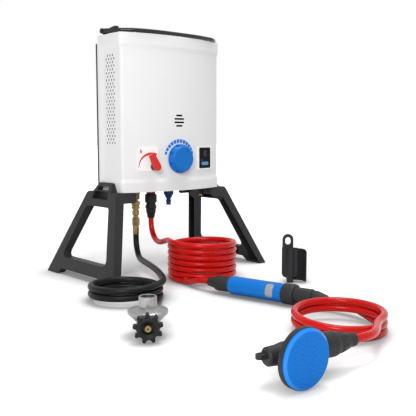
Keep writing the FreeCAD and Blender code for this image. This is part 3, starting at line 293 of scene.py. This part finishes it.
def thickened(mesh: bmesh.types.BMesh, thickness: float) -> None:
    """Gives every face of a flat mesh a thickness.

    Args:
        mesh: The flat mesh.
        thickness: Its new thickness in mm.
    """
    bmesh.ops.recalc_face_normals(mesh, faces=mesh.faces)
    bmesh.ops.solidify(mesh, geom=mesh.faces[:], thickness=thickness)


@dataclass
class CaseFront:
    """The bowed front face that carries the controls."""

    width: float = 317.0
    bow: float = 30.4
    corner_y: float = -58.9
    recess: float = 3.0

    @property
    def radius(self) -> float:
        """Radius of the recessed face in mm."""
        half = self.width / 2
        return (half * half + self.bow * self.bow) / (2 * self.bow) - self.recess

    def depth(self, x: float) -> float:
        """Y of the face at a place across it, in mm."""
        centre = self.corner_y - self.bow + self.radius + self.recess
        return centre - math.sqrt(self.radius ** 2 - x * x)

    def placed(self, mesh: bmesh.types.BMesh, x: float, z: float) -> None:
        """Sets a mesh from local X along the face and local Y into the case onto the face.

        Args:
            mesh: The mesh to move.
            x: Its place across the case.
            z: Its height.
        """
        turn = Matrix.Rotation(math.asin(x / self.radius), 4, "Z")
        bmesh.ops.transform(mesh, matrix=Matrix.Translation((x, self.depth(x), z)) @ turn, verts=mesh.verts)

    def wrapped(self, mesh: bmesh.types.BMesh, thickness: float) -> None:
        """Lays a flat XZ mesh on the bowed face as an ink film.

        Args:
            mesh: The mesh, in place across and in height.
            thickness: How far the film stands proud in mm.
        """
        for spot in mesh.verts:
            spot.co.y = self.depth(spot.co.x) - thickness
        thickened(mesh, thickness * 1.5)


@dataclass
class ControlMarks:
    """Printed scales and small marks round the controls."""

    front: CaseFront = field(default_factory=CaseFront)
    plate_x: float = -92.0
    display_x: float = 92.0
    control_z: float = 289.5
    plate_face: float = -3.0
    glass_face: float = -1.8
    knob_face: float = -104.9
    arc_centre: tuple[float, float] = (8.2, -17.5)
    arc_radius: float = 34.6
    arc_width: tuple[float, float] = (1.5, 8.6)
    arc_angles: tuple[float, float] = (184.0, 64.0)
    scale_radius: float = 49.2
    scale_blocks: int = 12
    scale_angles: tuple[float, float] = (168.0, 14.0)
    block_start: float = 0.16
    block_share: tuple[float, float] = (0.76, 0.08)
    block_inner: tuple[float, float] = (7.4, 1.6)
    block_outer: float = 1.8
    growing_blocks: int = 5
    flame_radius: float = 3.4
    flame_place: tuple[float, float] = (-20.5, 19.5)
    pointer_angle: float = 65.0
    pointer_size: Point = (10.5, 0.5, 2.2)
    pointer_reach: float = 22.0
    symbol_place: tuple[float, float] = (2.0, 11.5)
    lamp_place: tuple[float, float] = (-13.6, -5.7)
    ink_gap: float = 0.12
    ink_film: float = 0.18
    glass_gap: float = 0.1
    glass_film: float = 0.15

    def lever_arc(self) -> None:
        """Prints the red arc that widens towards full flame."""
        mesh = bmesh.new()
        start, end = self.arc_angles
        low, high = self.arc_width
        swept_band(mesh, self.arc_radius - 1.0, self.arc_radius, start, end, 36)
        for spot in mesh.verts:
            reach = math.hypot(spot.co.x, spot.co.z)
            turn = math.degrees(math.atan2(spot.co.z, spot.co.x)) % 360
            share = (start - turn) / (start - end)
            wanted = self.arc_radius - (0.0 if reach > self.arc_radius - 0.5 else low + (high - low) * share)
            spot.co *= wanted / reach
        bmesh.ops.translate(mesh, vec=(self.arc_centre[0], self.plate_face - self.ink_gap,
                                       self.arc_centre[1]),
                            verts=mesh.verts)
        thickened(mesh, self.ink_film)
        self.front.placed(mesh, self.plate_x, self.control_z)
        finished("lever_scale_ink", mesh, INK_RED, "heater")

    def flame_mark(self) -> None:
        """Prints the small generic flame at the top left of the lever plate."""
        mesh = bmesh.new()
        bmesh.ops.create_circle(mesh, cap_ends=True, radius=self.flame_radius, segments=20)
        bmesh.ops.rotate(mesh, cent=(0, 0, 0), matrix=Matrix.Rotation(math.radians(90), 3, "X"),
                         verts=mesh.verts)
        for spot in mesh.verts:
            rise = (spot.co.z + self.flame_radius) / (2 * self.flame_radius)
            spot.co.z = spot.co.z * (1.0 + 0.75 * rise)
            spot.co.x = spot.co.x * (1.0 - 0.62 * rise) + 0.9 * math.sin(rise * math.pi * 1.3)
        bmesh.ops.translate(mesh, vec=(self.flame_place[0], self.plate_face - self.ink_gap,
                                       self.flame_place[1]), verts=mesh.verts)
        thickened(mesh, self.ink_film)
        self.front.placed(mesh, self.plate_x, self.control_z)
        finished("small_flame_ink", mesh, INK_RED, "heater")

    def flow_scale(self) -> None:
        """Prints the row of blocks round the knob, larger towards full flow."""
        mesh = bmesh.new()
        start, end = self.scale_angles
        step = (end - start) / self.scale_blocks
        for i in range(self.scale_blocks):
            share = min(1.0, (i + 1) / self.growing_blocks)
            first = start + step * (i + self.block_start)
            last = first + step * (self.block_share[0] + self.block_share[1] * share)
            inner = self.scale_radius - self.block_inner[0] - self.block_inner[1] * share
            swept_band(mesh, inner, self.scale_radius - self.block_outer * (1 - share), first, last, 4)
        bmesh.ops.translate(mesh, vec=(0, 0, self.control_z), verts=mesh.verts)
        self.front.wrapped(mesh, self.ink_gap)
        finished("flow_scale_ink", mesh, INK_BLUE, "heater")

    def knob_pointer(self) -> None:
        """Lays the pointer line into the knob's face."""
        mesh = bmesh.new()
        bmesh.ops.create_cube(mesh, size=1.0)
        bmesh.ops.scale(mesh, vec=self.pointer_size, verts=mesh.verts)
        bmesh.ops.bevel(mesh, geom=mesh.edges[:], offset=0.2, offset_type="OFFSET", segments=2, profile=0.5,
                        affect="EDGES", material=-1)
        bmesh.ops.translate(mesh, vec=(self.pointer_reach, 0, 0), verts=mesh.verts)
        bmesh.ops.rotate(mesh, cent=(0, 0, 0), matrix=Matrix.Rotation(-math.radians(self.pointer_angle), 3,
                                                                      "Y"),
                         verts=mesh.verts)
        bmesh.ops.translate(mesh, vec=(0, self.knob_face, self.control_z), verts=mesh.verts)
        finished("knob_pointer_line", mesh, POINTER_BLUE, "knob")

    def display_marks(self) -> None:
        """Puts the dim symbols behind the display's front."""
        ring = bmesh.new()
        swept_band(ring, 5.4, 7.0, 20.0, 340.0, 28)
        swept_band(ring, 0.2, 2.6, 0.0, 300.0, 12)
        bmesh.ops.translate(ring, vec=(self.symbol_place[0], self.glass_face - self.glass_gap,
                                       self.symbol_place[1]), verts=ring.verts)
        thickened(ring, self.glass_film)
        self.front.placed(ring, self.display_x, self.control_z)
        finished("display_symbol", ring, INK_STEEL_BLUE, "heater")
        lamp = bmesh.new()
        swept_band(lamp, 0.1, 1.5, 0.0, 360.0, 16)
        bmesh.ops.translate(lamp, vec=(self.lamp_place[0], self.glass_face - self.glass_gap,
                                       self.lamp_place[1]), verts=lamp.verts)
        thickened(lamp, self.glass_film)
        self.front.placed(lamp, self.display_x, self.control_z)
        finished("display_lamp", lamp, ABS_RED, "heater")

    def build(self) -> None:
        """Makes every mark."""
        self.lever_arc()
        self.flame_mark()
        self.flow_scale()
        self.knob_pointer()
        self.display_marks()


@dataclass
class PaintedSlotShade:
    """Nearly black painted shade in the side slots and the front ones, pressed out into each of them."""

    place_x: float = 152.4
    slot_face: float = 155.42
    slot_rows: int = 26
    slot_pitch: tuple[float, float] = (11.0, 8.44)
    slot_size: tuple[float, float] = (3.1, 4.9)
    top_slot: float = 541.0
    front_slots: tuple[tuple[float, float], ...] = ((-12.9, 21.0), (-4.3, 32.0), (4.3, 32.0), (12.9, 21.0))
    front_slot_z: float = 385.0
    front_face: float = -86.3
    front_sink: float = 1.45
    front_trim: float = 2.4
    front_fill: tuple[float, float] = (2.3, 4.3)
    front_edge: float = 0.3
    half_depth: float = 25.0
    middle_y: float = -11.5
    heights: tuple[float, float] = (315.0, 556.0)
    thickness: float = 0.5

    def sides(self) -> None:
        """Makes both sheets and their slot fillings as one piece, one side mirrored from the other."""
        low, high = self.heights
        mesh = bmesh.new()
        bmesh.ops.create_grid(mesh, x_segments=6, y_segments=2, size=0.5)
        bmesh.ops.rotate(mesh, cent=(0, 0, 0), matrix=Matrix.Rotation(math.radians(90), 3, "Y"),
                         verts=mesh.verts)
        bmesh.ops.scale(mesh, vec=(1, 2 * self.half_depth, high - low), verts=mesh.verts)
        bmesh.ops.translate(mesh, vec=(self.place_x, self.middle_y, (low + high) / 2), verts=mesh.verts)
        thickened(mesh, self.thickness)
        deep = self.slot_face - self.place_x
        for row in range(self.slot_rows):
            count = 3 + row % 2
            for i in range(count):
                spot = Vector((self.place_x + deep / 2, self.middle_y + (i - (count - 1) / 2) * self.slot_pitch[0],
                               self.top_slot - row * self.slot_pitch[1]))
                shape = Matrix.Translation(spot) @ Matrix.Diagonal((deep, *self.slot_size, 1.0))
                bmesh.ops.create_cube(mesh, size=1.0, matrix=shape)
        bmesh.ops.mirror(mesh, geom=mesh.verts[:] + mesh.edges[:] + mesh.faces[:], axis="X", merge_dist=-1)
        finished("side_slot_painted_shade", mesh, SLOT_SHADE_BLACK, "heater")

    def front(self) -> None:
        """Fills the four flame slots on the front with painted shade."""
        front = bmesh.new()
        for offset, width in self.front_slots:
            spot = Matrix.Translation((0, self.front_face + self.front_sink, self.front_slot_z + offset))
            shape = spot @ Matrix.Diagonal((width - self.front_trim, *self.front_fill, 1.0))
            bmesh.ops.create_cube(front, size=1.0, matrix=shape)
        finished("flame_slot_painted_shade", front, SLOT_SHADE_BLACK, "heater", self.front_edge)

    def build(self) -> None:
        """Makes the painted shade of the side slots, then of the front ones."""
        self.sides()
        self.front()


@dataclass
class SprayFace:
    """The nozzles and the painted highlight on the polished edge of the shower's face."""

    origin: Point = (-381.4, -785.2, 44.8)
    turn: float = -5.0
    face_y: float = -46.6
    rim_radius: float = 43.5
    bevel: tuple[float, float] = (3.6, 3.0)
    edge_proud: float = 0.06
    edge_lip: float = 0.3
    edge_film: float = 0.05
    edge_steps: int = 96
    tip_radii: tuple[float, float] = (1.1, 0.7)
    tip_height: float = 0.5
    tip_proud: float = 0.05
    rings: tuple[tuple[float, int], ...] = ((7.0, 6), (13.5, 12), (20.0, 16), (26.5, 22), (33.0, 28))

    @property
    def place(self) -> Matrix:
        """Where the face's own axes lie in the shared frame."""
        return Matrix.Translation(self.origin) @ Matrix.Rotation(math.radians(self.turn), 4, "Z")

    def nozzles(self) -> None:
        """Makes the soft nozzle tips as one piece."""
        mesh = bmesh.new()
        for radius, count in self.rings:
            for i in range(count):
                angle = 2 * math.pi * (i + 0.5 * (count % 4 == 0)) / count
                spot = Matrix.Translation((radius * math.cos(angle), self.face_y - self.tip_proud,
                                           radius * math.sin(angle)))
                tip = spot @ Matrix.Rotation(math.radians(90), 4, "X")
                bmesh.ops.create_cone(mesh, cap_ends=True, segments=8, radius1=self.tip_radii[0],
                                      radius2=self.tip_radii[1], depth=self.tip_height, matrix=tip)
        bmesh.ops.transform(mesh, matrix=self.place, verts=mesh.verts)
        finished("spray_nozzles", mesh, NOZZLE_BLUE, "heater")

    def painted_highlight_edge(self) -> None:
        """Spins the lighter film of painted highlight that covers the face's turned-down edge."""
        edge = bmesh.new()
        across, deep = self.bevel
        steps = ((0.0, deep), (0.0, deep - self.edge_proud), (across, -self.edge_proud),
                 (across + self.edge_lip, -self.edge_proud))
        profile = [edge.verts.new((self.rim_radius - shift, self.face_y + lift, 0.0)) for shift,
                   lift in steps]
        lines = [edge.edges.new(pair) for pair in zip(profile, profile[1:])]
        bmesh.ops.spin(edge, geom=profile + lines, cent=(0, 0, 0), axis=(0, 1, 0), angle=math.radians(360),
                       steps=self.edge_steps, use_merge=True)
        thickened(edge, self.edge_film)
        bmesh.ops.transform(edge, matrix=self.place, verts=edge.verts)
        finished("face_bevel_painted_highlight", edge, PAINTED_HIGHLIGHT_BLUE, "heater")

    def build(self) -> None:
        """Makes the nozzles, then the edge's painted highlight."""
        self.nozzles()
        self.painted_highlight_edge()


@dataclass(frozen=True)
class Coil:
    """One wound stretch of hose, from its lowest turn up."""

    centre: tuple[float, float]
    radius: float
    pitch: float
    angles: tuple[float, float]
    lift: tuple[float, float]
    diameter: float
    points_per_turn: int = 20

    def station(self, share: float) -> Vector:
        """A point of the centre line in mm, share of the way from low to high."""
        low, high = self.angles
        turn = math.radians(low + (high - low) * share)
        height = (self.diameter / 2 + self.lift[0] + self.pitch * abs(high - low) / 360 * share
                  + self.lift[1] * math.sin(turn))
        reach = self.radius / math.cos(math.pi / self.points_per_turn)
        return Vector((self.centre[0] + reach * math.cos(turn), self.centre[1] + reach * math.sin(turn),
                       height))

    def end(self, share: float) -> Vector:
        """The straight end that leaves the coil level, one diameter long.

        Args:
            share: 0 for the low end, 1 for the high one.

        Returns:
            The end point in mm.
        """
        low, high = self.angles
        turn = math.radians(low + (high - low) * share)
        sense = 1 if high > low else -1
        onward = Vector((-math.sin(turn), math.cos(turn), 0)) * sense * self.diameter * (1 if share else -1)
        spot = self.station(share)
        spot.x = self.centre[0] + self.radius * math.cos(turn)
        spot.y = self.centre[1] + self.radius * math.sin(turn)
        return spot + onward

    def points(self, downwards: bool) -> list[Vector]:
        """Control points of the coil and its two straight ends.

        Args:
            downwards: Whether the hose is followed from the high end to the low one.

        Returns:
            The points in mm.
        """
        low, high = self.angles
        count = round(abs(high - low) / 360 * self.points_per_turn)
        line = [self.end(0)] + [self.station(i / count) for i in range(count + 1)] + [self.end(1)]
        return line[::-1] if downwards else line


def along(origin: Point, angle: float, distance: float) -> Point:
    """A point at a distance from an origin, level, in a direction given in degrees."""
    turn = math.radians(angle)
    return (origin[0] + distance * math.cos(turn), origin[1] + distance * math.sin(turn), origin[2])


def hose(name: str, route: list[Vector], diameter: float, length: float, finish: Finish,
         stands_for: tuple[str, ...]) -> None:
    """Makes one free hose on a smooth spline through its route.

    Args:
        name: The piece's name.
        route: Control points in mm from the exit to the far end.
        diameter: Outer diameter in mm.
        length: Real length in mm.
        finish: What it is made of.
        stands_for: CAD nodes that it replaces.
    """
    data = bpy.data.curves.new(name, "CURVE")
    data.dimensions = "3D"
    data.bevel_depth = (diameter / 2 + TOUCH) * MM
    data.bevel_resolution = 5
    data.use_fill_caps = True
    spline = data.splines.new("NURBS")
    spline.points.add(len(route) - 1)
    for point, spot in zip(spline.points, route):
        point.co = (spot[0] * MM, spot[1] * MM, spot[2] * MM, 1.0)
    spline.order_u = 3
    spline.use_endpoint_u = True
    spline.resolution_u = 5
    data.materials.append(finish.material())
    piece = bpy.data.objects.new(name, data)
    bpy.context.scene.collection.objects.link(piece)
    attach(piece, "heater")
    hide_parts(*stands_for)
    log.info("%s, %d points, %.0f mm", name, len(route), length)


@dataclass
class Hoses:
    """The gas hose and the two stretches of shower hose."""

    water: float = 13.4
    gas: float = 14.0
    gas_start: Point = (-94.2, -25.0, 99.0)
    gas_drop: tuple[Point, ...] = (
        (-94.2, -25, 85), (-95.7, -28.7, 71.6), (-98.6, -35.7, 59.8), (-102.6, -45.6, 50.7), (-107.4, -57.4,
                                                                                              45),
        (-112.7, -70.4, 43), (-121.8, -92.6, 43), (-138, -132, 44.2), (-155, -174, 45), (-171.9, -216, 44),
        (-188.3, -252.5, 41), (-200.3, -273.3, 38.3), (-212.8, -286.2, 36.4))
    gas_tail: tuple[Point, ...] = (
        (-251.4, -321.6, 7.5), (-276.9, -346.6, 11.2), (-302.8, -370.8, 16.9), (-328.2, -395.6, 22.7),
        (-352.1, -422.2, 26.4))
    regulator: Point = (-392.55, -477.0, 26.4)
    regulator_angle: float = -126.4
    shower_start: Point = (-46.2, -25.0, 136.5)
    shower_drop: tuple[Point, ...] = (
        (-46.2, -25, 122.5), (-47.3, -29, 109.1), (-49.4, -36.5, 97.5), (-52.3, -47, 88.7), (-55.8, -59.7,
                                                                                             83.3),
        (-59.8, -74.2, 81.2), (-64.6, -91.5, 83.5), (-69, -110, 88.5), (-73.4, -130.1, 93.8))
    shower_lead: tuple[Point, ...] = (
        (-89.65, -216, 7.1), (-91.6, -233.1, 10), (-94.3, -249.8, 14.5), (-96.1, -266.8, 19.2), (-95.7,
                                                                                                 -284.2, 22.2))
    grip: Point = (-78.95, -359.8, 22.2)
    grip_angle: float = -77.5
    shower_feed: tuple[Point, ...] = (
        (-23.7, -609, 22.2), (-23.1, -634.2, 19), (-26.5, -657.6, 14.6), (-31.7, -678.1, 10.7), (-37.1,
                                                                                                 -695.3, 8),
        (-43.5, -707.5, 7.1))
    shower_tail: tuple[Point, ...] = (
        (-126.6, -768.2, 35.3), (-145.8, -778.5, 36), (-164.4, -790.5, 37.3), (-184.1, -802.5, 39),
        (-205.8, -811.7, 40.5), (-229.3, -814.8, 41.5))
    head: Point = (-378.25, -784.5, 41.5)
    head_angle: float = -11.5
    water_turns: float = 6.06
    gas_length: float = 1472.0
    shower_length: float = 3243.0
    hand_length: float = 1357.0
    regulator_port: float = -34.0
    grip_inlet: float = -60.5
    grip_outlet: float = 231.0
    head_port: float = 129.5

    def build(self, nodes: dict[str, bpy.types.Object]) -> None:
        """Makes all three hoses.

        Args:
            nodes: The CAD nodes by name; not used.
        """
        gas_coil = Coil((-273.5, -237.0), 73.0, 14.9, (-42.0, 660.0), (0.5, 0.0), self.gas)
        water_coil = Coil((-12.15, -186.0), 77.5, 14.3, (180.0, 180.0 - 360.0 * self.water_turns), (0.4,
                                                                                                    0.0),
                          self.water)
        loop = Coil((-122.15, -683.0), 78.5, 14.1, (-35.0, -790.0), (1.8, 2.5), self.water)
        gas_route = [Vector(self.gas_start), *map(Vector, self.gas_drop), *gas_coil.points(True),
                     *map(Vector, self.gas_tail),
                     Vector(along(self.regulator, self.regulator_angle, self.regulator_port))]
        shower_route = [Vector(self.shower_start), *map(Vector, self.shower_drop), *water_coil.points(True),
                        *map(Vector, self.shower_lead), Vector(along(self.grip, self.grip_angle,
                                                                     self.grip_inlet))]
        hand_route = [Vector(along(self.grip, self.grip_angle, self.grip_outlet)), *map(Vector,
                                                                                        self.shower_feed),
                      *loop.points(False), *map(Vector, self.shower_tail),
                      Vector(along(self.head, self.head_angle, self.head_port))]
        hose("gas_hose", gas_route, self.gas, self.gas_length, HOSE_BLACK,
             ("gas_hose_drop", "gas_hose_coil", "gas_hose_tail"))
        hose("shower_hose", shower_route, self.water, self.shower_length, HOSE_RED,
             ("shower_hose_drop", "shower_hose_coil", "shower_hose_lead"))
        hose("hand_hose", hand_route, self.water, self.hand_length, HOSE_RED,
             ("shower_hose_feed", "shower_hose_loop", "shower_hose_tail"))


@dataclass
class Studio:
    """Camera, floor and lights."""

    eye: Point = (-1.0659, -1.3901, 0.3471)
    yaw: float = 41.7154
    dip: float = 6.2221
    lens: float = 57.3
    world_level: float = 0.36
    floor_glow: float = 0.16
    # Reach and power of the painted contact shadow on the floor
    painted_shadow_reach: float = 0.07
    painted_shadow_depth: float = 1.6
    fade: tuple[float, float] = (0.5, 1.7)
    floor_half: float = 20.0
    floor_drop: float = 0.0006

    def camera(self) -> None:
        """Puts the camera where the photograph was taken from."""
        data = bpy.data.cameras.new("camera")
        data.lens = self.lens
        data.sensor_width = 36.0
        data.clip_start = 0.05
        yaw, dip = math.radians(self.yaw), math.radians(self.dip)
        right = Vector((math.cos(yaw), -math.sin(yaw), 0))
        ahead = Vector((math.sin(yaw) * math.cos(dip), math.cos(yaw) * math.cos(dip), -math.sin(dip)))
        above = right.cross(ahead)
        turned = Matrix((right, above, -ahead)).transposed().to_4x4()
        camera = bpy.data.objects.new("camera", data)
        bpy.context.scene.collection.objects.link(camera)
        camera.matrix_world = Matrix.Translation(self.eye) @ turned
        bpy.context.scene.camera = camera

    def floor(self) -> None:
        """Lays the pale floor, which shows near white, keeps shadows and has painted contact shadow near things.
        """
        mesh = bmesh.new()
        bmesh.ops.create_grid(mesh, x_segments=1, y_segments=1, size=self.floor_half)
        data = bpy.data.meshes.new("floor")
        mesh.to_mesh(data)
        mesh.free()
        floor = bpy.data.objects.new("floor", data)
        floor.location.z = -self.floor_drop
        bpy.context.scene.collection.objects.link(floor)
        made = bpy.data.materials.new("matt_white_paper")
        made.use_nodes = True
        tree = made.node_tree
        tree.nodes.clear()
        ray = add(tree, "ShaderNodeLightPath")
        seen = add(tree, "ShaderNodeMath", None, {0: ray.outputs["Is Camera Ray"],
                                                  1: ray.outputs["Is Glossy Ray"]},
                   operation="MAXIMUM")
        place = add(tree, "ShaderNodeTexCoord")
        reach = add(tree, "ShaderNodeVectorMath", None, {0: place.outputs["Object"]}, operation="LENGTH")
        far = add(tree, "ShaderNodeMapRange",
                  {"From Min": self.fade[0], "From Max": self.fade[1], "To Min": self.floor_glow,
                   "To Max": 1.0},
                  {"Value": reach.outputs["Value"]})
        # Painted contact shadow: ambient occlusion darkens the floor's colour near things
        near = add(tree, "ShaderNodeAmbientOcclusion", {"Distance": self.painted_shadow_reach})
        shade = add(tree, "ShaderNodeMath", {1: self.painted_shadow_depth}, {0: near.outputs["AO"]},
                    operation="POWER")
        glow = add(tree, "ShaderNodeMath", None, {0: seen.outputs[0], 1: far.outputs[0]},
                   operation="MULTIPLY")
        paper = add(tree, "ShaderNodeBsdfDiffuse", None, {"Color": shade.outputs[0]})
        light = add(tree, "ShaderNodeEmission", None, {"Strength": glow.outputs[0]})
        both = add(tree, "ShaderNodeAddShader", None, {0: paper.outputs[0], 1: light.outputs[0]})
        add(tree, "ShaderNodeOutputMaterial", None, {"Surface": both.outputs[0]})
        data.materials.append(made)

    def lamp(self, name: str, place: Point, aim: Point, size: float, watts: float) -> None:
        """Adds one soft area lamp.

        Args:
            name: Its name.
            place: Where it hangs, in metres.
            aim: What it points at.
            size: Width of its square panel.
            watts: Its power.
        """
        data = bpy.data.lights.new(name, "AREA")
        data.size = size
        data.energy = watts
        lamp = bpy.data.objects.new(name, data)
        lamp.location = place
        lamp.rotation_euler = (Vector(aim) - Vector(place)).to_track_quat("-Z", "Y").to_euler()
        bpy.context.scene.collection.objects.link(lamp)

    def world(self) -> None:
        """Sets even light, with white behind the object."""
        world = bpy.data.worlds.new("studio")
        world.use_nodes = True
        tree = world.node_tree
        tree.nodes.clear()
        ray = add(tree, "ShaderNodeLightPath")
        seen = add(tree, "ShaderNodeMath", None, {0: ray.outputs["Is Camera Ray"],
                                                  1: ray.outputs["Is Glossy Ray"]},
                   operation="MAXIMUM")
        seen = add(tree, "ShaderNodeMath", None, {0: seen.outputs[0],
                                                  1: ray.outputs["Is Transmission Ray"]},
                   operation="MAXIMUM")
        even = add(tree, "ShaderNodeBackground", {"Color": (1, 1, 1, 1), "Strength": self.world_level})
        white = add(tree, "ShaderNodeBackground", {"Color": (1, 1, 1, 1), "Strength": 1.0})
        mix = add(tree, "ShaderNodeMixShader", None, {0: seen.outputs[0], 1: even.outputs[0],
                                                      2: white.outputs[0]})
        add(tree, "ShaderNodeOutputWorld", None, {"Surface": mix.outputs[0]})
        bpy.context.scene.world = world

    def build(self) -> None:
        """Sets up the whole studio."""
        self.camera()
        self.floor()
        self.world()
        self.lamp("key", (-1.87, -1.71, 1.3), (0, -0.1, 0.35), 0.8, 37.0)
        self.lamp("top", (0.2, -0.4, 2.6), (0, -0.3, 0.0), 1.0, 33.0)
        scene = bpy.context.scene
        scene.view_settings.view_transform = "Standard"


def dress_nodes(nodes: dict[str, bpy.types.Object]) -> None:
    """Gives every carried-over CAD node its finish.

    Args:
        nodes: The CAD nodes by name.
    """
    for name, finish in NODE_FINISHES.items():
        node = nodes[name]
        made = finish.material()
        if not node.data.materials:
            node.data.materials.append(made)
        for i in range(len(node.material_slots)):
            node.material_slots[i].material = made
        log.info("%s in %s", name, finish.name)


def main() -> None:
    """Builds the scene in order."""
    logging.basicConfig(level=logging.INFO, format="%(name)s: %(message)s")
    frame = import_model()
    nodes = frame["nodes"]
    Studio().build()
    Hoses().build(nodes)
    dress_nodes(nodes)
    ControlMarks().build()
    PaintedSlotShade().build()
    SprayFace().build()
    bpy.context.view_layer.update()


if __name__ == "__main__":
    main()
